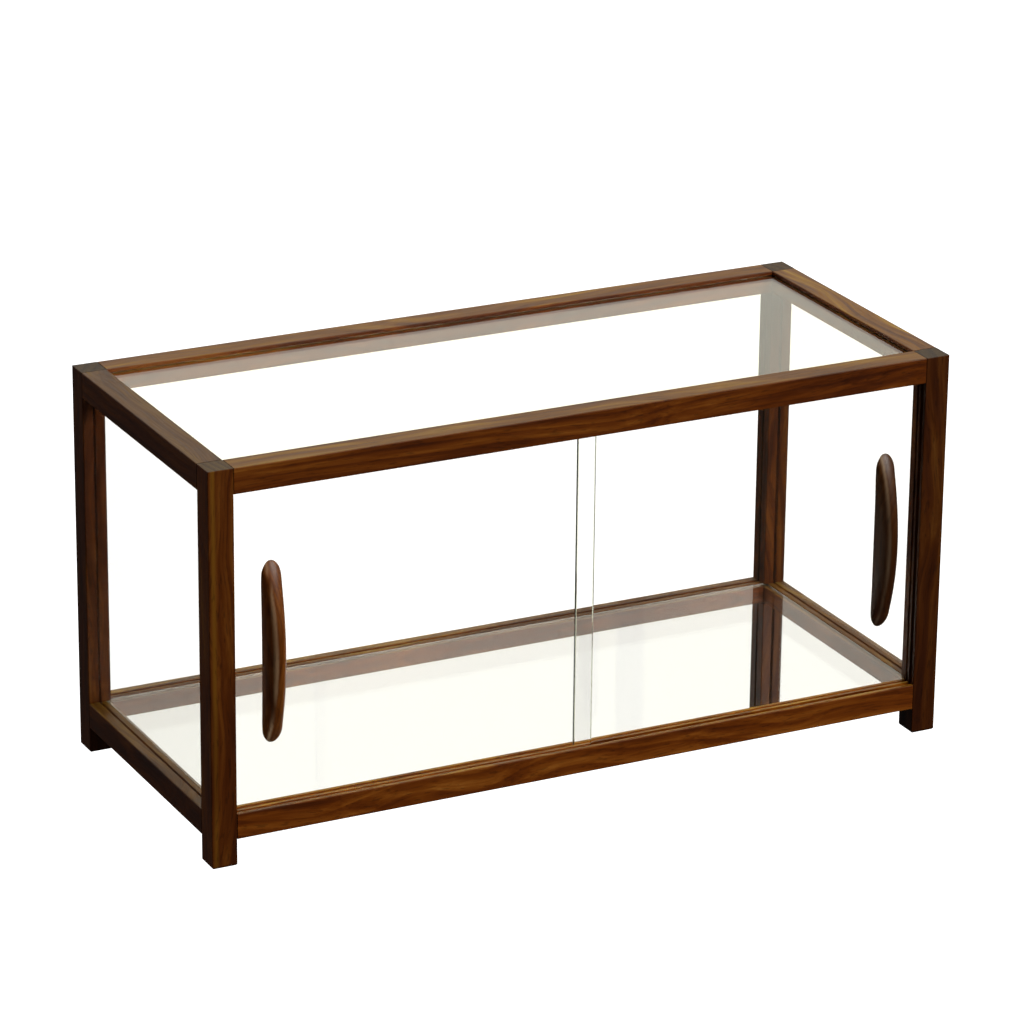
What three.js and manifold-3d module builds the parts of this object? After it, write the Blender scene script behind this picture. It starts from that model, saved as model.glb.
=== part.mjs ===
// Tabletop display case: a square-section hardwood frame holding fixed panes of glass,
// a mirror base under a glass floor, and two glass doors that slide past each other in front.
// Millimetres, +X to the right, -Y to the front, +Z up.
import * as THREE from 'three';
import { mergeVertices } from 'three/addons/utils/BufferGeometryUtils.js';
import Module from 'manifold-3d';

const wasm = await Module();
wasm.setup();

// ---- Driving dimensions ----
const CASE_WIDTH = 610;
const CASE_DEPTH = 257;
const CASE_HEIGHT = 308;
const STOCK = 20; // side of the square section of every post and rail
const FOOT_HEIGHT = 21; // clear height under the bottom rails
const EDGE_RADIUS = 0.7; // eased long edges
const TOP_EASE = 0.5; // eased edges of a post's top end
const FOOT_EASE = 2.4; // eased edges of a post's foot

const GLASS = 3; // thickness of every pane
const ARRIS = 0.3; // ground edge of a pane
const GAP = 0.4; // clearance round a pane in its groove
const REST_GAP = 0.3; // clearance between pieces that rest on or touch each other
const GROOVE_DEPTH = 4;
const PANE_OFFSET = 10; // outer face of the frame to the middle of a side or back pane
const LID_RECESS = 3.2; // top of the rails down to the top glass
const FLOOR_RECESS = 0.3; // top of the bottom rails down to the floor glass, which lies in open rebates

const DOOR_TRACK_FRONT = 5.1; // front of the frame to the middle of the front track
const DOOR_TRACK_REAR = 11.5; // front of the frame to the middle of the rear track
const DOOR_LIFT_GROOVE = 9; // depth of the upper tracks, so that a door lifts out
const DOOR_ENGAGEMENT = 4.6; // how far a door reaches into its upper track
const DOOR_OVERLAP = 12; // how far the doors pass each other when shut

const MIRROR_TOP = 30.5; // above the surface that the case stands on
const BACKING = 2; // thickness of the board under the mirror
const CLEAT_WIDTH = 8;
const CLEAT_HEIGHT = 3.8;

const DOWEL_DIAMETER = 6;
const DOWEL_LENGTH = 19;
const DOWEL_INSET = 6; // outer face of the frame to the dowel's axis
const DOWEL_ABOVE_UNDERSIDE = 6.6; // in the bottom rails
const DOWEL_BELOW_TOP = 5.5; // in the top rails

const SCREW_LENGTH = 13;
const SCREW_SHANK = 2.6;
const SCREW_HEAD = 5;

const PULL_LENGTH = 142;
const PULL_WIDTH = 15.6;
const PULL_PROUD = 19.5; // how far the crest stands out from the pull's flat back
const PULL_END = 12; // length of each rounded end
const PULL_INSET = 28.7; // inner face of a corner post to the pull's middle
const PULL_MIDDLE = 162.5; // height of the pull's middle
const PAD_THICKNESS = 0.4;

// ---- Derived places ----
const halfWidth = CASE_WIDTH / 2;
const halfDepth = CASE_DEPTH / 2;
const innerX = halfWidth - STOCK;
const innerY = halfDepth - STOCK;
const bottomRailTop = FOOT_HEIGHT + STOCK;
const topRailUnderside = CASE_HEIGHT - STOCK;
const grooveX = innerX + GROOVE_DEPTH;
const grooveY = innerY + GROOVE_DEPTH;
const grooveLow = bottomRailTop - GROOVE_DEPTH;
const grooveHigh = topRailUnderside + GROOVE_DEPTH;
const pullBackGap = REST_GAP + PAD_THICKNESS + REST_GAP;
const frontOverhang = PULL_PROUD + pullBackGap + GLASS / 2 - DOOR_TRACK_FRONT;

const wood = (color) => () => new THREE.MeshStandardMaterial({ color, roughness: 0.5, metalness: 0 });
const walnut = wood(0x5a3519);
const darkWalnut = wood(0x4a2810);
const beech = wood(0xc8a878);
const hardboard = wood(0x6b4a30);
const clearGlass = () => new THREE.MeshStandardMaterial({
  color: 0xeef6f2, roughness: 0.03, metalness: 0, transparent: true, opacity: 0.3,
});
const silveredGlass = () => new THREE.MeshStandardMaterial({ color: 0xe6ebe8, roughness: 0.03, metalness: 1 });
const steel = () => new THREE.MeshStandardMaterial({ color: 0x9a9a98, roughness: 0.35, metalness: 1 });
const clearTape = () => new THREE.MeshStandardMaterial({ color: 0xd8dcda, roughness: 0.4, metalness: 0 });

// ---- Helpers ----
function toManifold(geometry) {
  const bare = geometry.clone();
  bare.deleteAttribute('normal');
  bare.deleteAttribute('uv');
  const merged = mergeVertices(bare, 1e-4);
  const corners = merged.index.array;
  const triangles = [];
  for (let at = 0; at < corners.length; at += 3) {
    const [a, b, c] = corners.slice(at, at + 3);
    if (a !== b && b !== c && c !== a) triangles.push(a, b, c);
  }
  const mesh = new wasm.Mesh({
    numProp: 3,
    vertProperties: new Float32Array(merged.attributes.position.array),
    triVerts: new Uint32Array(triangles),
  });
  return new wasm.Manifold(mesh);
}

function toGeometry(solid) {
  const mesh = solid.getMesh();
  const geometry = new THREE.BufferGeometry();
  geometry.setAttribute('position', new THREE.BufferAttribute(mesh.vertProperties, 3));
  geometry.setIndex(new THREE.BufferAttribute(mesh.triVerts, 1));
  geometry.computeVertexNormals();
  return geometry;
}

function named(name, geometry, material) {
  const mesh = new THREE.Mesh(geometry, material());
  mesh.name = name;
  return mesh;
}

// A box between two corners.
function block(low, high) {
  const size = high.map((value, axis) => value - low[axis]);
  const box = new THREE.BoxGeometry(...size);
  return box.translate(...low.map((value, axis) => value + size[axis] / 2));
}

// The square section of the stock, with its long edges eased.
function stockSection() {
  const flat = STOCK / 2 - EDGE_RADIUS;
  const steps = 2; // per corner
  const points = [];
  [[1, 1], [-1, 1], [-1, -1], [1, -1]].forEach(([signX, signY], corner) => {
    for (let step = 0; step <= steps; step += 1) {
      const angle = (Math.PI / 2) * (corner + step / steps);
      const x = signX * flat + EDGE_RADIUS * Math.cos(angle);
      const y = signY * flat + EDGE_RADIUS * Math.sin(angle);
      points.push(new THREE.Vector2(x, y));
    }
  });
  return new THREE.Shape(points);
}

// A square-ended length of stock standing on z = 0.
function stockLength(length) {
  return new THREE.ExtrudeGeometry(stockSection(), { depth: length, bevelEnabled: false });
}

// A square prism round the stock whose two ends are eased to a quarter round.
function easedPrism(length, footEase, topEase) {
  const steps = 3;
  const profile = [[0, 0]];
  for (let step = 0; step <= steps; step += 1) {
    const angle = (Math.PI / 2) * (step / steps);
    profile.push([STOCK / 2 - footEase * (1 - Math.sin(angle)), footEase * (1 - Math.cos(angle))]);
  }
  for (let step = 0; step <= steps; step += 1) {
    const angle = (Math.PI / 2) * (step / steps);
    profile.push([STOCK / 2 - topEase * (1 - Math.cos(angle)), length - topEase * (1 - Math.sin(angle))]);
  }
  profile.push([0, length]);
  const corners = profile.map(([half, z]) => new THREE.Vector2(half * Math.SQRT2, z));
  return new THREE.LatheGeometry(corners, 4).rotateX(Math.PI / 2).rotateZ(Math.PI / 4);
}

// A pane lying between two corners, its thickness along the given axis, with ground edges.
function pane(low, high, thicknessAxis) {
  const size = high.map((value, axis) => value - low[axis]);
  const middle = high.map((value, axis) => (value + low[axis]) / 2);
  const [across, up] = { x: [2, 1], y: [0, 2], z: [0, 1] }[thicknessAxis];
  const thickness = size['xyz'.indexOf(thicknessAxis)];
  const halfAcross = size[across] / 2 - ARRIS;
  const halfUp = size[up] / 2 - ARRIS;
  const outline = new THREE.Shape();
  outline.moveTo(-halfAcross, -halfUp);
  outline.lineTo(halfAcross, -halfUp);
  outline.lineTo(halfAcross, halfUp);
  outline.lineTo(-halfAcross, halfUp);
  outline.closePath();
  const geometry = new THREE.ExtrudeGeometry(outline, {
    depth: thickness - 2 * ARRIS,
    bevelEnabled: true,
    bevelThickness: ARRIS,
    bevelSize: ARRIS,
    bevelSegments: 1,
  });
  geometry.translate(0, 0, ARRIS - thickness / 2);
  if (thicknessAxis === 'x') geometry.rotateY(Math.PI / 2);
  if (thicknessAxis === 'y') geometry.rotateX(Math.PI / 2);
  return geometry.translate(...middle);
}

// The groove that holds a pane: the pane's box, grown by the clearance all round.
function grooveFor(low, high) {
  return block(low.map((value) => value - GAP), high.map((value) => value + GAP));
}

function rod(diameter, length, centre, axis, segments = 16) {
  const geometry = new THREE.CylinderGeometry(diameter / 2, diameter / 2, length, segments);
  if (axis === 'x') geometry.rotateZ(Math.PI / 2);
  return geometry.translate(...centre);
}

function cut(geometry, tools) {
  let solid = toManifold(geometry);
  for (const tool of tools) solid = solid.subtract(toManifold(tool));
  return toGeometry(solid);
}

// ---- Panes: low and high corners ----
const sidePaneX = halfWidth - PANE_OFFSET;
const backPaneY = halfDepth - PANE_OFFSET;
const fixedLow = grooveLow + GAP;
const fixedHigh = grooveHigh - GAP;
const lidTop = CASE_HEIGHT - LID_RECESS;
const floorTop = bottomRailTop - FLOOR_RECESS;
const paneBoxes = {
  left_glass: {
    axis: 'x',
    low: [-sidePaneX - GLASS / 2, -grooveY + GAP, fixedLow],
    high: [-sidePaneX + GLASS / 2, grooveY - GAP, fixedHigh],
  },
  right_glass: {
    axis: 'x',
    low: [sidePaneX - GLASS / 2, -grooveY + GAP, fixedLow],
    high: [sidePaneX + GLASS / 2, grooveY - GAP, fixedHigh],
  },
  back_glass: {
    axis: 'y',
    low: [-grooveX + GAP, backPaneY - GLASS / 2, fixedLow],
    high: [grooveX - GAP, backPaneY + GLASS / 2, fixedHigh],
  },
  top_glass: {
    axis: 'z',
    low: [-grooveX + GAP, -grooveY + GAP, lidTop - GLASS],
    high: [grooveX - GAP, grooveY - GAP, lidTop],
  },
  floor_glass: {
    axis: 'z',
    low: [-grooveX + GAP, -grooveY + GAP, floorTop - GLASS],
    high: [grooveX - GAP, grooveY - GAP, floorTop],
  },
};

// ---- Doors ----
const doorLow = grooveLow + REST_GAP;
const doorHigh = topRailUnderside + DOOR_ENGAGEMENT;
const doorWidth = grooveX - GAP + DOOR_OVERLAP / 2;
function trackGroove(offset) {
  const middle = -halfDepth + offset;
  const half = GLASS / 2 + GAP;
  return block([-grooveX, middle - half, grooveLow], [grooveX, middle + half, topRailUnderside + DOOR_LIFT_GROOVE]);
}

const grooves = Object.values(paneBoxes).map(({ low, high }) => grooveFor(low, high));
grooves.push(trackGroove(DOOR_TRACK_FRONT), trackGroove(DOOR_TRACK_REAR));

// ---- Dowels: one across each joint between a rail and a post ----
const levels = {
  bottom: FOOT_HEIGHT + DOWEL_ABOVE_UNDERSIDE,
  top: CASE_HEIGHT - DOWEL_BELOW_TOP,
};
const sides = [['left', -1], ['right', 1]];
const ends = [['front', -1], ['back', 1]];
const dowels = [];
for (const [level, height] of Object.entries(levels)) {
  for (const [side, signX] of sides) {
    for (const [end, signY] of ends) {
      dowels.push({
        name: `${level}_${end}_${side}_long_dowel`,
        axis: 'x',
        centre: [signX * innerX, signY * (halfDepth - DOWEL_INSET), height],
      });
      dowels.push({
        name: `${level}_${end}_${side}_short_dowel`,
        axis: 'y',
        centre: [signX * (halfWidth - DOWEL_INSET), signY * innerY, height],
      });
    }
  }
}
const dowelHoles = dowels.map(({ axis, centre }) =>
  rod(DOWEL_DIAMETER + 2 * REST_GAP, DOWEL_LENGTH + 2 * GAP, centre, axis));

// ---- Cleat screws: two through each base cleat into its rail ----
const cleatTop = MIRROR_TOP - GLASS - REST_GAP - BACKING - REST_GAP;
const screwHeight = cleatTop - CLEAT_HEIGHT / 2;
const cleatOuterX = innerX - REST_GAP;
const cleatOuterY = innerY - REST_GAP;
const screws = [];
for (const [end, signY] of ends) {
  for (const [side, signX] of sides) {
    screws.push({
      name: `${end}_cleat_screw_${side}`,
      centre: [signX * CASE_WIDTH / 4, signY * (cleatOuterY - CLEAT_WIDTH), screwHeight],
      turn: signY > 0 ? 0 : Math.PI,
    });
  }
}
for (const [side, signX] of sides) {
  for (const [end, signY] of ends) {
    screws.push({
      name: `${side}_cleat_screw_${end}`,
      centre: [signX * (cleatOuterX - CLEAT_WIDTH), signY * CASE_DEPTH / 5, screwHeight],
      turn: signX > 0 ? -Math.PI / 2 : Math.PI / 2,
    });
  }
}

// A countersunk screw pointing along +Y, its head's face at y = 0, grown by a clearance.
function screwBody(grow) {
  const head = Math.min(SCREW_HEAD / 2 + grow, CLEAT_HEIGHT / 2 - 0.1);
  const shank = SCREW_SHANK / 2 + grow;
  const points = [
    [0, -grow], [head, -grow], [head, 0.3], [shank, 1.7],
    [shank, SCREW_LENGTH - 2 + grow], [0, SCREW_LENGTH + grow],
  ];
  return new THREE.LatheGeometry(points.map(([x, y]) => new THREE.Vector2(x, y)), 16);
}

function placeScrew(geometry, { centre, turn }) {
  return geometry.rotateZ(turn).translate(...centre);
}

const screwHoles = screws.map((screw) => placeScrew(screwBody(REST_GAP), screw));
const joinery = [...grooves, ...dowelHoles, ...screwHoles];

// ---- Frame ----
function makePosts() {
  return sides.flatMap(([side, signX]) => ends.map(([end, signY]) => {
    const length = toManifold(stockLength(CASE_HEIGHT));
    const post = toGeometry(length.intersect(toManifold(easedPrism(CASE_HEIGHT, FOOT_EASE, TOP_EASE))));
    post.translate(signX * (halfWidth - STOCK / 2), signY * (halfDepth - STOCK / 2), 0);
    return named(`${end}_${side}_post`, cut(post, joinery), walnut);
  }));
}

function makeRails() {
  const rails = [];
  const heights = { top: CASE_HEIGHT - STOCK / 2, bottom: FOOT_HEIGHT + STOCK / 2 };
  for (const [level, height] of Object.entries(heights)) {
    for (const [end, signY] of ends) {
      const length = 2 * (innerX - REST_GAP);
      const rail = stockLength(length).translate(0, 0, -length / 2).rotateY(Math.PI / 2);
      rail.translate(0, signY * (halfDepth - STOCK / 2), height);
      rails.push(named(`${level}_${end}_rail`, cut(rail, joinery), walnut));
    }
    for (const [side, signX] of sides) {
      const length = 2 * (innerY - REST_GAP);
      const rail = stockLength(length).translate(0, 0, -length / 2).rotateX(Math.PI / 2);
      rail.translate(signX * (halfWidth - STOCK / 2), 0, height);
      rails.push(named(`${level}_${side}_rail`, cut(rail, joinery), walnut));
    }
  }
  return rails;
}

function makeFixedPanes() {
  return Object.entries(paneBoxes).map(([name, { axis, low, high }]) =>
    named(name, pane(low, high, axis), clearGlass));
}

function makeDowels() {
  return dowels.map(({ name, axis, centre }) =>
    named(name, rod(DOWEL_DIAMETER, DOWEL_LENGTH, centre, axis), beech));
}

// ---- Base: mirror, backing board and the cleats that carry them ----
function makeBase() {
  const x = innerX - REST_GAP;
  const y = innerY - REST_GAP;
  const backingTop = MIRROR_TOP - GLASS - REST_GAP;
  const mirror = pane([-x, -y, MIRROR_TOP - GLASS], [x, y, MIRROR_TOP], 'z');
  const board = block([-x, -y, backingTop - BACKING], [x, y, backingTop]);
  const low = cleatTop - CLEAT_HEIGHT;
  const cleats = [];
  for (const [end, signY] of ends) {
    const rows = [signY * cleatOuterY, signY * (cleatOuterY - CLEAT_WIDTH)].sort((a, b) => a - b);
    const cleat = block([-cleatOuterX, rows[0], low], [cleatOuterX, rows[1], cleatTop]);
    cleats.push(named(`${end}_base_cleat`, cut(cleat, screwHoles), walnut));
  }
  const reach = cleatOuterY - CLEAT_WIDTH - REST_GAP;
  for (const [side, signX] of sides) {
    const rows = [signX * cleatOuterX, signX * (cleatOuterX - CLEAT_WIDTH)].sort((a, b) => a - b);
    const cleat = block([rows[0], -reach, low], [rows[1], reach, cleatTop]);
    cleats.push(named(`${side}_base_cleat`, cut(cleat, screwHoles), walnut));
  }
  return [
    named('mirror_panel', mirror, silveredGlass),
    named('backing_board', board, hardboard),
    ...cleats,
  ];
}

function makeScrews() {
  const slotWidth = 0.6;
  const slotDepth = 0.5;
  return screws.map((screw) => {
    const slot = block([-SCREW_HEAD, -1, -slotWidth / 2], [SCREW_HEAD, slotDepth, slotWidth / 2]);
    return named(screw.name, placeScrew(cut(screwBody(0), [slot]), screw), steel);
  });
}

// ---- Pull: flat back on the glass, straight sides, round ends and a bowed crest ----
function pullGeometry() {
  const rings = 40;
  const around = 18;
  const roundness = 2.3; // 2 is an ellipse, higher is squarer
  const bow = 0.85;
  const tip = 0.995;
  const half = PULL_LENGTH / 2;
  const positions = [];
  for (let ring = 0; ring <= rings; ring += 1) {
    const along = -tip * Math.cos((Math.PI * ring) / rings);
    const intoEnd = Math.max(0, half * Math.abs(along) - (half - PULL_END)) / PULL_END;
    const width = (PULL_WIDTH / 2) * Math.sqrt(Math.max(0, 1 - intoEnd ** 2));
    const proud = PULL_PROUD * (1 - along ** 2) ** bow;
    for (let step = 0; step <= around; step += 1) {
      const angle = (Math.PI * step) / around;
      const across = Math.sign(Math.cos(angle)) * Math.abs(Math.cos(angle)) ** (2 / roundness);
      positions.push(width * across, -proud * Math.sin(angle) ** (2 / roundness), half * along);
    }
  }
  const perRing = around + 1;
  const index = [];
  for (let ring = 0; ring < rings; ring += 1) {
    for (let step = 0; step < perRing; step += 1) {
      const next = (step + 1) % perRing;
      const [a, b] = [ring * perRing + step, ring * perRing + next];
      index.push(a, a + perRing, b, b, a + perRing, b + perRing);
    }
  }
  for (let step = 1; step < around; step += 1) {
    const top = rings * perRing;
    index.push(0, step, step + 1);
    index.push(top, top + step + 1, top + step);
  }
  const geometry = new THREE.BufferGeometry();
  geometry.setAttribute('position', new THREE.Float32BufferAttribute(positions, 3));
  geometry.setIndex(index);
  geometry.computeVertexNormals();
  return geometry;
}

function padGeometry() {
  const halfLength = PULL_LENGTH / 2 - PULL_END;
  const radius = PULL_WIDTH / 2 - 2;
  const outline = new THREE.Shape();
  outline.absarc(0, halfLength - radius, radius, 0, Math.PI);
  outline.absarc(0, radius - halfLength, radius, Math.PI, 2 * Math.PI);
  outline.closePath();
  const pad = new THREE.ExtrudeGeometry(outline, {
    depth: PAD_THICKNESS, curveSegments: 8, bevelEnabled: false,
  });
  return pad.rotateX(Math.PI / 2);
}

function makeDoor(side, signX, trackOffset) {
  const front = -halfDepth + trackOffset - GLASS / 2;
  const outer = signX * (grooveX - GAP);
  const edges = [outer, outer - signX * doorWidth].sort((a, b) => a - b);
  const sheet = pane([edges[0], front, doorLow], [edges[1], front + GLASS, doorHigh], 'y');
  const door = new THREE.Group();
  const pull = named(`${side}_pull`, pullGeometry(), darkWalnut);
  const pad = named(`${side}_pull_pad`, padGeometry(), clearTape);
  const pullX = signX * (innerX - PULL_INSET);
  pad.position.set(pullX, front - REST_GAP, PULL_MIDDLE);
  pull.position.set(pullX, front - pullBackGap, PULL_MIDDLE);
  door.add(named(`${side}_door_glass`, sheet, clearGlass), pull, pad);
  return door;
}

// ---- Assembly, centred over the footprint that includes the pulls ----
const displayCase = new THREE.Group();
displayCase.add(...makePosts(), ...makeRails(), ...makeFixedPanes(), ...makeDowels());
displayCase.add(...makeBase(), ...makeScrews());
displayCase.add(makeDoor('left', -1, DOOR_TRACK_FRONT), makeDoor('right', 1, DOOR_TRACK_REAR));
displayCase.position.y = frontOverhang / 2;

export default displayCase;
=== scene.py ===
"""Looks for the tabletop display case: oiled walnut, clear glass, a mirror base and bowed pulls."""
import math

import bpy
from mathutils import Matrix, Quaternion, Vector


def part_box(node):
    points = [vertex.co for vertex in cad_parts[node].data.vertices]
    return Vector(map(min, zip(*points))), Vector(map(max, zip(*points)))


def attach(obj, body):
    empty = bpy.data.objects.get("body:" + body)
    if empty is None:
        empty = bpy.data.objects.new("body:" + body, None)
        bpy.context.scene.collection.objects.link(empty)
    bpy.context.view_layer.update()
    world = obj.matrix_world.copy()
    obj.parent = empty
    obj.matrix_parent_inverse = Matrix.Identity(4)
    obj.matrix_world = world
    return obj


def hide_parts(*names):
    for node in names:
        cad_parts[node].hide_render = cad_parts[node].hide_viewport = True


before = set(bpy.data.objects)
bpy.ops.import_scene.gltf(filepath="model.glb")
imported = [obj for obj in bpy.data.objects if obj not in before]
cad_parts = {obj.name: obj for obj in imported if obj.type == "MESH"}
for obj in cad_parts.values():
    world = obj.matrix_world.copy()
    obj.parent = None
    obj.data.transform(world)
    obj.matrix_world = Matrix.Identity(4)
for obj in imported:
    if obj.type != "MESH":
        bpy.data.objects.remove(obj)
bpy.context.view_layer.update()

MM = 0.001
AXES = "XYZ"

# ---- Camera: where it stands round the case, and what it looks at ----
AZIMUTH = math.radians(-26.78)
ELEVATION = math.radians(20.61)
DISTANCE = 3.7175  # metres
ROLL = math.radians(0.603)
LENS = 171.23  # focal length in millimetres
AIM_FROM_CENTRE = Vector((4.9, 9.3, 27.9)) * MM

# ---- Light ----
BACKDROP = 1.42  # brightness of the backdrop where it is looked at, directly or through glass
FILL = (0.18, 0.155, 0.105)  # brightness of the room where it lights the wood
ROOM = (1.22, 1.20, 1.12)  # what shiny faces mirror, behind and above the case
DIM_ROOM = (0.03, 0.03, 0.03)  # what they mirror low in front and on the left
FLOOR_GLOW = 0.06  # brightness of the floor where it lights the case


# ---- Node helpers ----
class Tree:
    """Adds nodes to a material or world, and links sockets or sets values by input name."""

    def __init__(self, owner):
        owner.use_nodes = True
        self.tree = owner.node_tree
        self.tree.nodes.clear()

    def add(self, kind, inputs=None, **settings):
        node = self.tree.nodes.new(kind)
        for name, value in settings.items():
            setattr(node, name, value)
        for key, value in (inputs or {}).items():
            self.put(node.inputs[key], value)
        return node

    def put(self, socket, value):
        if isinstance(value, bpy.types.NodeSocket):
            self.tree.links.new(value, socket)
        else:
            socket.default_value = value

    def math(self, operation, *values, clamp=False):
        node = self.add("ShaderNodeMath", operation=operation, use_clamp=clamp)
        for socket, value in zip(node.inputs, values):
            self.put(socket, value)
        return node.outputs[0]

    def combine(self, x=0.0, y=0.0, z=0.0):
        return self.add("ShaderNodeCombineXYZ", {"X": x, "Y": y, "Z": z}).outputs[0]

    def noise(self, vector, scale, detail=2.0, roughness=0.5, distortion=0.0):
        inputs = {
            "Vector": vector, "Scale": scale, "Detail": detail,
            "Roughness": roughness, "Distortion": distortion,
        }
        return self.add("ShaderNodeTexNoise", inputs).outputs["Fac"]

    def span(self, value, low, high, to_low=0.0, to_high=1.0, smooth=True):
        """Maps low..high of a value to to_low..to_high, clamped."""
        node = self.add("ShaderNodeMapRange", interpolation_type="SMOOTHSTEP" if smooth else "LINEAR")
        for name, given in (("Value", value), ("From Min", low), ("From Max", high),
                            ("To Min", to_low), ("To Max", to_high)):
            self.put(node.inputs[name], given)
        return node.outputs["Result"]

    def mix(self, factor, a, b, blend="MIX"):
        node = self.add("ShaderNodeMix", data_type="RGBA", blend_type=blend)
        for index, value in ((0, factor), (6, a), (7, b)):
            self.put(node.inputs[index], value)
        return node.outputs[2]

    def ramp(self, factor, stops):
        node = self.add("ShaderNodeValToRGB", {"Fac": factor})
        elements = node.color_ramp.elements
        while len(elements) < len(stops):
            elements.new(0.5)
        for element, (place, color) in zip(elements, stops):
            element.position = place
            element.color = (*color, 1.0)
        return node.outputs["Color"]

    def output(self, surface):
        self.add("ShaderNodeOutputMaterial", {"Surface": surface})


def new_material(name):
    material = bpy.data.materials.new(name)
    return material, Tree(material)


# ---- Wood ----
WALNUT_STOPS = [
    (0.00, (0.038, 0.0068, 0.0003)),
    (0.30, (0.068, 0.0135, 0.0006)),
    (0.55, (0.108, 0.0245, 0.0012)),
    (0.80, (0.166, 0.0480, 0.0044)),
    (1.00, (0.235, 0.0860, 0.0130)),
]
PULL_STOPS = [
    (0.00, (0.060, 0.0130, 0.0008)),
    (0.35, (0.100, 0.0260, 0.0020)),
    (0.70, (0.150, 0.0440, 0.0050)),
    (1.00, (0.220, 0.0800, 0.0140)),
]
AMBER = (0.200, 0.0780, 0.0060)  # the pale line along the front left post
PAINTED_CREST_HIGHLIGHT = (0.600, 0.4000, 0.2500)  # painted highlight along a pull's crest, where the light catches it
PAINTED_TOP_LIGHT = (0.97, 1.62, 1.10)  # painted light: what faces that face up multiply the wood's colour by, standing in for the warm light and sheen on them
PITH = (34 * MM, 52 * MM)  # offset of the pith, across the grain
WANDER = 46 * MM  # how far the pith can wander
SEED_STEP = 1.37  # metres along the grain for each unit of a seed
PORE_PITCH = 1700.0  # noise cells per metre for the pores in end grain


class Grain:
    """Where a point lies along, across and deep in a piece of wood whose pith wanders slowly."""

    def __init__(self, t, axis, seed):
        self.t, self.seed = t, seed
        self.index = AXES.index(axis)
        place = t.add("ShaderNodeTexCoord").outputs["Object"]
        split = t.add("ShaderNodeSeparateXYZ", {"Vector": place})
        self.along = t.math("ADD", split.outputs[self.index], seed * SEED_STEP)
        self.across, self.deep = (split.outputs[i] for i in range(3) if i != self.index)
        self.wander = self.drift(6.5, self.across, seed)
        self.sway = self.drift(4.1, self.deep, seed + 7.7)

    def drift(self, per_metre, sideways, seed):
        """How far the pith has moved sideways, which draws the long arched figure."""
        t = self.t
        place = t.combine(t.math("MULTIPLY", self.along, per_metre), t.math("MULTIPLY", sideways, 14.0), seed)
        return t.math("MULTIPLY", t.math("SUBTRACT", t.noise(place, 1.0, 1.5, 0.5), 0.5), WANDER)

    def noise(self, per_metre_along, per_metre_across, detail, rough, distortion=0.0):
        """Noise drawn out along the grain."""
        t = self.t
        place = t.combine(
            t.math("MULTIPLY", self.along, per_metre_along),
            t.math("MULTIPLY", t.math("ADD", self.across, self.wander), per_metre_across),
            t.math("MULTIPLY", t.math("ADD", self.deep, self.sway), per_metre_across),
        )
        return t.noise(place, 1.0, detail, rough, distortion)

    def dark_line(self, ring):
        """1 in the late wood of each growth ring, falling off sharply at its outside."""
        t = self.t
        ring_x = t.math("ADD", t.math("ADD", self.across, PITH[0]), self.wander)
        ring_y = t.math("ADD", t.math("ADD", self.deep, PITH[1]), self.sway)
        squares = t.math("ADD", t.math("POWER", ring_x, 2.0), t.math("POWER", ring_y, 2.0))
        saw = t.math("FRACT", t.math("DIVIDE", t.math("POWER", squares, 0.5), ring))
        return t.math("MULTIPLY", t.span(saw, 0.25, 0.88), t.span(saw, 0.90, 1.0, 1.0, 0.0))


def shifted(t, level, noise, weight):
    """A level moved up and down by a noise that averages a half."""
    return t.math("ADD", level, t.math("MULTIPLY", t.math("SUBTRACT", noise, 0.5), weight))


def long_grain(grain, stops, dark_line, fibre, streak, cloud):
    """Streaks, clouds and fibres, with darker late wood."""
    t = grain.t
    level = t.math("ADD", t.math("MULTIPLY", t.math("SUBTRACT", streak, 0.5), 1.15), 0.58)
    level = shifted(t, level, cloud, 1.00)
    level = shifted(t, level, fibre, 0.34)
    return t.ramp(t.math("SUBTRACT", level, t.math("MULTIPLY", dark_line, 0.22), clamp=True), stops)


def striped(grain, color, stripe, streak, cloud):
    """The colour with a lighter streak along the grain, ragged at its sides and broken here and there: a pale
    line in the wood on the front left post, a painted highlight on a pull's crest.
    """
    t = grain.t
    middle, half_width, stripe_color = stripe
    near = t.math("ABSOLUTE", t.math("SUBTRACT", grain.across, middle))
    ragged = shifted(t, near, streak, half_width)
    amount = t.math("MULTIPLY", t.span(ragged, 0.0, half_width, 1.0, 0.0), t.span(cloud, 0.30, 0.65))
    return t.mix(amount, color, (*stripe_color, 1.0))


def end_grain(grain, stops, dark_line, cloud):
    """Rings cut square, with round pores."""
    t = grain.t
    across, deep = (t.math("MULTIPLY", way, PORE_PITCH) for way in (grain.across, grain.deep))
    place = t.combine(across, deep, grain.seed)
    dots = t.span(t.noise(place, 1.0, 1.0, 0.5), 0.58, 0.70, 1.0, 0.6)
    level = shifted(t, t.math("SUBTRACT", 0.55, t.math("MULTIPLY", dark_line, 0.30)), cloud, 0.3)
    duller = [(at, tuple(0.55 * c + 0.16 * sum(color) / 3 for c in color)) for at, color in stops]
    return t.mix(1.0, t.ramp(level, duller), t.combine(dots, dots, dots), "MULTIPLY")


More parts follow.
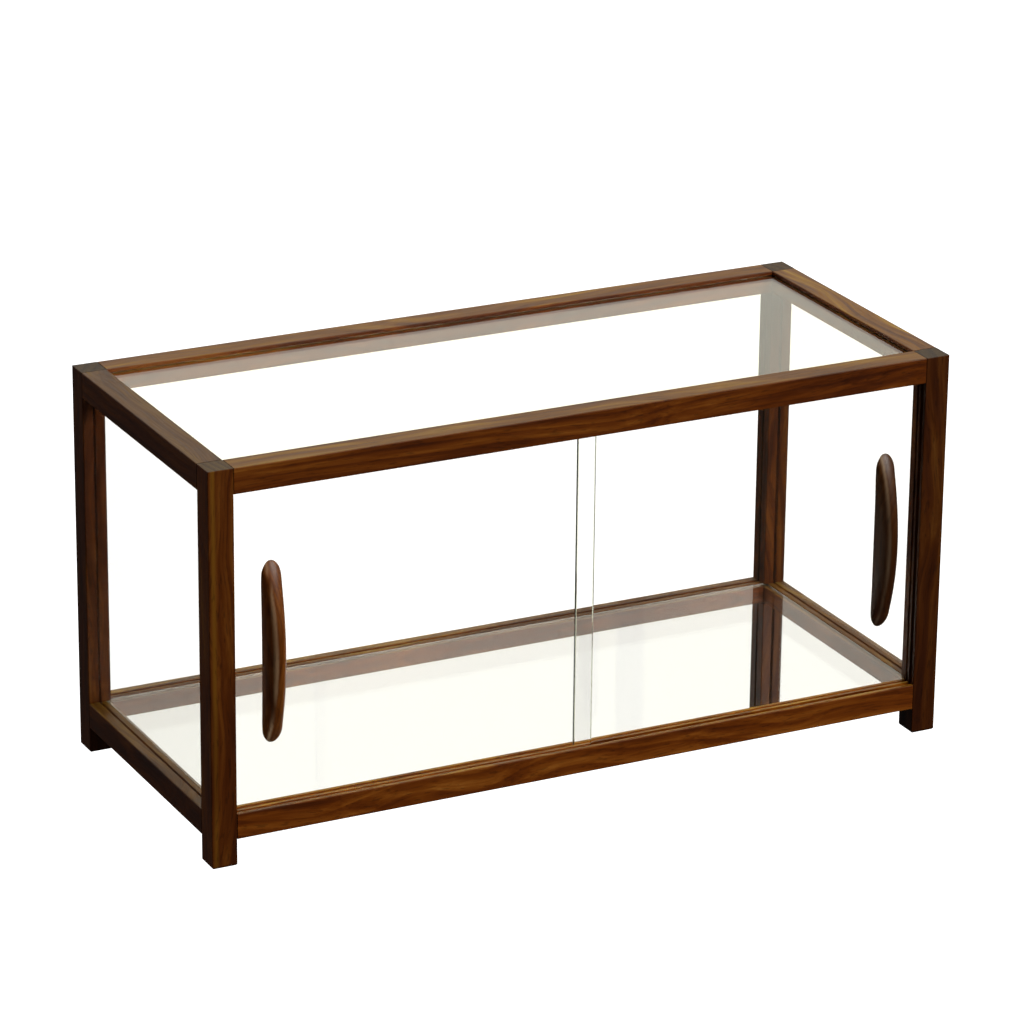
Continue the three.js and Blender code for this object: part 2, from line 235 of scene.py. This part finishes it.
def wood(name, axis, seed, stops=WALNUT_STOPS, tone=1.0, ring=7.5 * MM,
         roughness=0.46, gloss_level=0.12, pore_depth=0.34, stripe=None):
    """Walnut with its grain along one axis: growth rings round a wandering pith, fibres, pores, end grain.

    A stripe is a lighter streak along the grain, given as its place across it, its half width and colour: on
    the front left post a pale line in the wood, on a pull's crest a painted highlight.
    """
    material, t = new_material(name)
    grain = Grain(t, axis, seed)
    dark_line = grain.dark_line(ring)
    fibre = grain.noise(24.0, 1100.0, 3.0, 0.62)
    streak = grain.noise(6.0, 190.0, 3.0, 0.55, 0.4)
    cloud = grain.noise(5.0, 45.0, 2.0, 0.5)
    face_color = long_grain(grain, stops, dark_line, fibre, streak, cloud)
    if stripe:
        face_color = striped(grain, face_color, stripe, streak, cloud)

    # short open pores, longer than wide
    pores = t.span(grain.noise(80.0, 760.0, 1.0, 0.5), 0.58, 0.70)
    shade = t.span(pores, 0.0, 1.0, 1.0, 1.0 - pore_depth, smooth=False)
    face_color = t.mix(1.0, face_color, t.combine(shade, shade, shade), "MULTIPLY")

    normal = t.add("ShaderNodeSeparateXYZ", {"Vector": t.add("ShaderNodeNewGeometry").outputs["Normal"]})
    is_end = t.span(t.math("ABSOLUTE", normal.outputs[grain.index]), 0.62, 0.80)
    color = t.mix(is_end, face_color, end_grain(grain, stops, dark_line, cloud))
    # painted light: faces that face up are made more golden and lighter, standing in for the warm light and
    # sheen that fall on them
    is_top = t.span(normal.outputs["Z"], 0.6, 0.9)
    color = t.mix(is_top, color, t.mix(1.0, color, (*PAINTED_TOP_LIGHT, 1.0), "MULTIPLY"))
    color = t.mix(1.0, color, (tone, tone, tone, 1.0), "MULTIPLY")

    height = t.math("SUBTRACT", t.math("MULTIPLY", fibre, 0.5), pores)
    bump = t.add("ShaderNodeBump", {"Height": height, "Strength": 0.14, "Distance": 0.12 * MM})
    rough = t.span(fibre, 0.3, 0.7, roughness - 0.06, roughness + 0.08)
    rough = t.math("ADD", rough, t.math("MULTIPLY", is_end, 0.10))
    shader = t.add("ShaderNodeBsdfPrincipled", {
        "Base Color": color, "Roughness": rough, "Normal": bump.outputs[0], "Specular IOR Level": gloss_level,
    })
    t.output(shader.outputs[0])
    return material


# ---- Glass and mirror ----
CLEAR = (0.995, 0.990, 0.965)
YELLOWED = (0.99, 0.98, 0.82)
EXTRA_CLEAR = (0.99, 0.99, 0.99)
COATING = (1.0, 0.97, 0.72)  # colour that the faces mirror
GROUND_EDGE = (0.70, 0.74, 0.50)
SILVER = (0.960, 0.980, 1.000)


def glass(name, thin_axis, index=1.5, body=CLEAR):
    """Clear glass whose ground edges are olive and a little frosted. Lamps reach through it."""
    material, t = new_material(name)
    normal = t.add("ShaderNodeSeparateXYZ", {"Vector": t.add("ShaderNodeNewGeometry").outputs["Normal"]})
    is_face = t.span(t.math("ABSOLUTE", normal.outputs[AXES.index(thin_axis)]), 0.80, 0.95)
    place = t.add("ShaderNodeTexCoord").outputs["Object"]
    frost = t.span(t.noise(place, 900.0, 2.0), 0.3, 0.7, 0.10, 0.24)
    clear = t.add("ShaderNodeBsdfPrincipled", {
        "Base Color": (*body, 1.0), "Roughness": 0.0, "IOR": index, "Transmission Weight": 1.0,
        "Specular Tint": (*COATING, 1.0),
    })
    ground = t.add("ShaderNodeBsdfPrincipled", {
        "Base Color": (*GROUND_EDGE, 1.0), "Roughness": frost, "IOR": 1.5, "Transmission Weight": 1.0,
    })
    both = t.add("ShaderNodeMixShader", {0: is_face, 1: ground.outputs[0], 2: clear.outputs[0]})
    open_to_lamps = t.add("ShaderNodeBsdfTransparent", {"Color": (0.94, 0.95, 0.93, 1.0)})
    shadow = t.add("ShaderNodeLightPath").outputs["Is Shadow Ray"]
    shader = t.add("ShaderNodeMixShader", {0: shadow, 1: both.outputs[0], 2: open_to_lamps.outputs[0]})
    t.output(shader.outputs[0])
    return material


def mirror(name):
    """Silvering seen through clear glass, with grey paint on its back."""
    material, t = new_material(name)
    normal = t.add("ShaderNodeSeparateXYZ", {"Vector": t.add("ShaderNodeNewGeometry").outputs["Normal"]})
    is_silver = t.span(normal.outputs["Z"], 0.6, 0.9)
    silver = t.add("ShaderNodeBsdfPrincipled", {
        "Base Color": (*SILVER, 1.0), "Metallic": 1.0, "Roughness": 0.0,
    })
    place = t.add("ShaderNodeTexCoord").outputs["Object"]
    paint_color = t.ramp(t.noise(place, 260.0, 3.0), [(0.3, (0.20, 0.21, 0.22)), (0.7, (0.27, 0.28, 0.29))])
    paint = t.add("ShaderNodeBsdfPrincipled", {"Base Color": paint_color, "Roughness": 0.7})
    shader = t.add("ShaderNodeMixShader", {0: is_silver, 1: paint.outputs[0], 2: silver.outputs[0]})
    t.output(shader.outputs[0])
    return material


# ---- Hidden pieces ----
def speckled(name, low, high, scale, roughness=0.6, metallic=0.0):
    """A fine speckle between two colours."""
    material, t = new_material(name)
    place = t.add("ShaderNodeTexCoord").outputs["Object"]
    fine = t.noise(place, scale, 4.0, 0.6)
    color = t.ramp(fine, [(0.3, low), (0.7, high)])
    bump = t.add("ShaderNodeBump", {"Height": fine, "Strength": 0.2, "Distance": 0.1 * MM})
    gloss = t.span(fine, 0.3, 0.7, roughness - 0.08, roughness + 0.08)
    shader = t.add("ShaderNodeBsdfPrincipled", {
        "Base Color": color, "Roughness": gloss, "Metallic": metallic, "Normal": bump.outputs[0],
    })
    t.output(shader.outputs[0])
    return material


def clear_tape(name):
    material, t = new_material(name)
    place = t.add("ShaderNodeTexCoord").outputs["Object"]
    frost = t.span(t.noise(place, 1500.0, 3.0), 0.3, 0.7, 0.35, 0.55)
    shader = t.add("ShaderNodeBsdfPrincipled", {
        "Base Color": (0.80, 0.82, 0.81, 1.0), "Roughness": frost, "IOR": 1.45, "Transmission Weight": 0.7,
    })
    t.output(shader.outputs[0])
    return material


# ---- What each node wears ----
POST_STRIPE = (3.6 * MM, 3 * MM)  # from the post's left face to the stripe's middle, half width
POST_TONES = {"front_left": 0.72, "front_right": 0.41, "back_left": 0.46, "back_right": 0.60}
RAIL_TONES = {
    "top_front": 0.98, "top_back": 1.08, "top_left": 0.56, "top_right": 1.05,
    "bottom_front": 1.25, "bottom_back": 0.95, "bottom_left": 0.54, "bottom_right": 0.9,
}


def dress(node_name, material):
    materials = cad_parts[node_name].data.materials
    materials.clear()
    materials.append(material)


def dress_frame():
    for number, (place, tone) in enumerate(POST_TONES.items()):
        node_name = f"{place}_post"
        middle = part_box(node_name)[0].x + POST_STRIPE[0]
        stripe = (middle, POST_STRIPE[1], AMBER) if place == "front_left" else None
        dress(node_name, wood(f"walnut_{node_name}", "Z", 1.0 + 2.3 * number, tone=tone, stripe=stripe))
    for number, (place, tone) in enumerate(RAIL_TONES.items()):
        axis = "X" if place.endswith(("front", "back")) else "Y"
        dress(f"{place}_rail", wood(f"walnut_{place}_rail", axis, 11.0 + 3.7 * number, tone=tone))


def dress_glass():
    across_x = glass("side_glass", "X", index=1.28)
    across_y = glass("front_and_back_glass", "Y")
    for name in ("left_glass", "right_glass"):
        dress(name, across_x)
    dress("back_glass", across_y)
    dress("top_glass", glass("top_coated_glass", "Z", index=1.34, body=YELLOWED))
    dress("floor_glass", glass("floor_coated_glass", "Z", index=1.26, body=EXTRA_CLEAR))
    for side in ("left", "right"):
        dress(f"{side}_door_glass", across_y)
    dress("mirror_panel", mirror("silvered_glass"))


def dress_hidden():
    beech = speckled("beech", (0.42, 0.27, 0.14), (0.62, 0.44, 0.26), 400.0)
    steel = speckled("zinc_steel", (0.42, 0.42, 0.41), (0.60, 0.60, 0.58), 1200.0, 0.32, 1.0)
    board = speckled("hardboard", (0.160, 0.090, 0.045), (0.260, 0.155, 0.085), 700.0, 0.65)
    tape = clear_tape("clear_tape")
    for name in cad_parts:
        if name.endswith("_dowel"):
            dress(name, beech)
        elif "_screw_" in name:
            dress(name, steel)
        elif name.endswith("_cleat"):
            axis = "X" if name.startswith(("front", "back")) else "Y"
            dress(name, wood(f"walnut_{name}", axis, 40.0 + len(name), tone=0.9))
        elif name.endswith("_pad"):
            dress(name, tape)
    dress("backing_board", board)


# ---- Pulls ----
PULL_LOOKS = {"left": (61.0, 1.12), "right": (67.3, 0.34)}  # seed and tone of the wood
PULL_END = 12 * MM  # length of each rounded end
PULL_BACK_ROUND = 0.9 * MM  # rounding between the flat back and the sides
PULL_CROWN = 2.3  # 2 for a round section, more for a squarer one
PULL_BOW = 0.85  # 0.5 for a bow like an ellipse, more for a pointed one
PULL_RINGS, PULL_AROUND = 120, 48
CREST_STREAK = (3.7 * MM, 2.0 * MM)  # painted highlight on the crest: how far left of the pull's middle it lies, and its half width


def pull_outline(low, high, along):
    """The points round a pull at one place along it, from -1 at its foot to 1 at its top."""
    centre = (low + high) / 2
    half = (high.z - low.z) / 2
    into_end = max(0.0, half * abs(along) - (half - PULL_END)) / PULL_END
    width = (high.x - low.x) / 2 * math.sqrt(max(0.0, 1 - into_end ** 2))
    reach = (high.y - low.y) * (1 - along ** 2) ** PULL_BOW
    soft = min(PULL_BACK_ROUND, reach / 3, width / 3)
    points = []
    for step in range(PULL_AROUND):
        angle = math.pi * step / (PULL_AROUND - 1)
        across = math.copysign(abs(math.cos(angle)) ** (2 / PULL_CROWN), math.cos(angle))
        out = max(0.0, math.sin(angle)) ** (2 / PULL_CROWN)
        inset = soft * max(0.0, 1 - out * reach / soft)
        points.append((centre.x + (width - inset) * across, high.y - reach * out, centre.z + half * along))
    return points


def pull_mesh(name, low, high):
    """A bowed bar with a flat back, straight sides, round ends and a crowned crest."""
    vertices, faces = [], []
    for ring in range(1, PULL_RINGS):
        vertices += pull_outline(low, high, -math.cos(math.pi * ring / PULL_RINGS))
    steps = [(step, (step + 1) % PULL_AROUND) for step in range(PULL_AROUND)]
    for ring in range(PULL_RINGS - 2):
        base = ring * PULL_AROUND
        for step, following in steps:
            a, b = base + step, base + following
            faces.append((a, b, b + PULL_AROUND, a + PULL_AROUND))
    foot, top = len(vertices), len(vertices) + 1
    vertices += [((low.x + high.x) / 2, high.y, low.z), ((low.x + high.x) / 2, high.y, high.z)]
    last = (PULL_RINGS - 2) * PULL_AROUND
    faces += [(foot, following, step) for step, following in steps]
    faces += [(top, last + step, last + following) for step, following in steps]
    mesh = bpy.data.meshes.new(name)
    mesh.from_pydata(vertices, [], faces)
    mesh.validate()
    mesh.shade_smooth()
    return mesh


def make_pull(side):
    low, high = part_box(f"{side}_pull")
    mesh = pull_mesh(f"{side}_pull_walnut", low, high)
    pull = bpy.data.objects.new(f"{side}_pull_walnut", mesh)
    bpy.context.scene.collection.objects.link(pull)
    seed, tone = PULL_LOOKS[side]
    # the crest gets a painted highlight, a lighter stripe where the light catches it
    crest = ((low.x + high.x) / 2 - CREST_STREAK[0], CREST_STREAK[1], PAINTED_CREST_HIGHLIGHT)
    mesh.materials.append(wood(f"walnut_{side}_pull", "Z", seed, PULL_STOPS, tone, ring=3.6 * MM,
                               roughness=0.34, gloss_level=0.2, pore_depth=0.25, stripe=crest))
    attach(pull, f"{side}_door")
    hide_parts(f"{side}_pull")


# ---- Stage ----
def looked_at(t):
    """1 for rays that see the stage directly or through glass, 0 for all that have bounced off something."""
    path = t.add("ShaderNodeLightPath")
    seen = t.math("MAXIMUM", path.outputs["Is Camera Ray"], path.outputs["Is Transmission Ray"])
    bounces = t.math("ADD", path.outputs["Glossy Depth"], path.outputs["Diffuse Depth"])
    return t.math("MULTIPLY", seen, t.math("LESS_THAN", bounces, 0.5))


def make_world():
    """Plain light everywhere, and for shiny faces a room that is dim low in front and on the left."""
    world = bpy.data.worlds.new("studio")
    bpy.context.scene.world = world
    t = Tree(world)
    toward = t.add("ShaderNodeSeparateXYZ", {"Vector": t.add("ShaderNodeTexCoord").outputs["Generated"]})
    lean = t.math("ADD", t.math("MULTIPLY", toward.outputs["Y"], 0.35), toward.outputs["Z"])
    lean = t.math("ADD", lean, t.math("MULTIPLY", t.math("MINIMUM", toward.outputs["X"], 0.0), 0.5))
    room = t.mix(t.span(lean, -0.35, 0.15), (*DIM_ROOM, 1.0), (*ROOM, 1.0))
    path = t.add("ShaderNodeLightPath")
    shiny = t.math("GREATER_THAN", path.outputs["Glossy Depth"], 0.5)
    shiny = t.math("MULTIPLY", shiny, t.math("LESS_THAN", path.outputs["Diffuse Depth"], 0.5))
    lighting = t.mix(shiny, (*FILL, 1.0), room)
    color = t.mix(looked_at(t), lighting, (BACKDROP, BACKDROP, BACKDROP, 1.0))
    shader = t.add("ShaderNodeBackground", {"Color": color})
    t.add("ShaderNodeOutputWorld", {"Surface": shader.outputs[0]})


def make_floor():
    size, drop = 60.0, 0.2 * MM
    corners = [(x * size, y * size, -drop) for x, y in ((-1, -1), (1, -1), (1, 1), (-1, 1))]
    mesh = bpy.data.meshes.new("floor")
    mesh.from_pydata(corners, [], [(0, 1, 2, 3)])
    floor = bpy.data.objects.new("floor", mesh)
    bpy.context.scene.collection.objects.link(floor)
    material, t = new_material("pale_floor")
    strength = t.span(looked_at(t), 0.0, 1.0, FLOOR_GLOW, BACKDROP, smooth=False)
    shine = t.add("ShaderNodeEmission", {"Color": (1.0, 1.0, 1.0, 1.0), "Strength": strength}).outputs[0]
    from_below = t.add("ShaderNodeNewGeometry").outputs["Backfacing"]
    clear = t.add("ShaderNodeBsdfTransparent").outputs[0]
    t.output(t.add("ShaderNodeMixShader", {0: from_below, 1: shine, 2: clear}).outputs[0])
    mesh.materials.append(material)


def make_softbox(name, place, target, size, power, color):
    light = bpy.data.lights.new(name, "AREA")
    light.shape = "RECTANGLE"
    light.size, light.size_y = size
    light.energy = power
    light.color = color
    lamp = bpy.data.objects.new(name, light)
    bpy.context.scene.collection.objects.link(lamp)
    lamp.location = Vector(place)
    lamp.rotation_mode = "QUATERNION"
    lamp.rotation_quaternion = (target - lamp.location).to_track_quat("-Z", "Y")
    lamp.visible_camera = False
    lamp.visible_transmission = False


def make_camera(centre):
    back = Vector((
        math.sin(AZIMUTH) * math.cos(ELEVATION), -math.cos(AZIMUTH) * math.cos(ELEVATION), math.sin(ELEVATION),
    ))
    camera = bpy.data.objects.new("camera", bpy.data.cameras.new("camera"))
    bpy.context.scene.collection.objects.link(camera)
    camera.data.lens = LENS
    camera.data.clip_end = 200.0
    camera.location = centre + AIM_FROM_CENTRE + back * DISTANCE
    camera.rotation_mode = "QUATERNION"
    camera.rotation_quaternion = (-back).to_track_quat("-Z", "Y") @ Quaternion((0, 0, 1), ROLL)
    bpy.context.scene.camera = camera


case_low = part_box("front_left_post")[0]
case_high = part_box("back_right_post")[1]
case_centre = (case_low + case_high) / 2

make_camera(case_centre)
make_world()
make_floor()
make_softbox("key", (1.3, -2.1, 2.0), case_centre, (1.4, 1.2), 84.0, (1.0, 0.98, 0.93))
make_softbox("overhead", (0.3, 0.7, 2.5), case_centre, (1.6, 1.6), 46.0, (0.98, 1.00, 0.86))
bpy.context.scene.view_settings.view_transform = "Standard"

dress_frame()
dress_glass()
dress_hidden()
for door_side in ("left", "right"):
    make_pull(door_side)
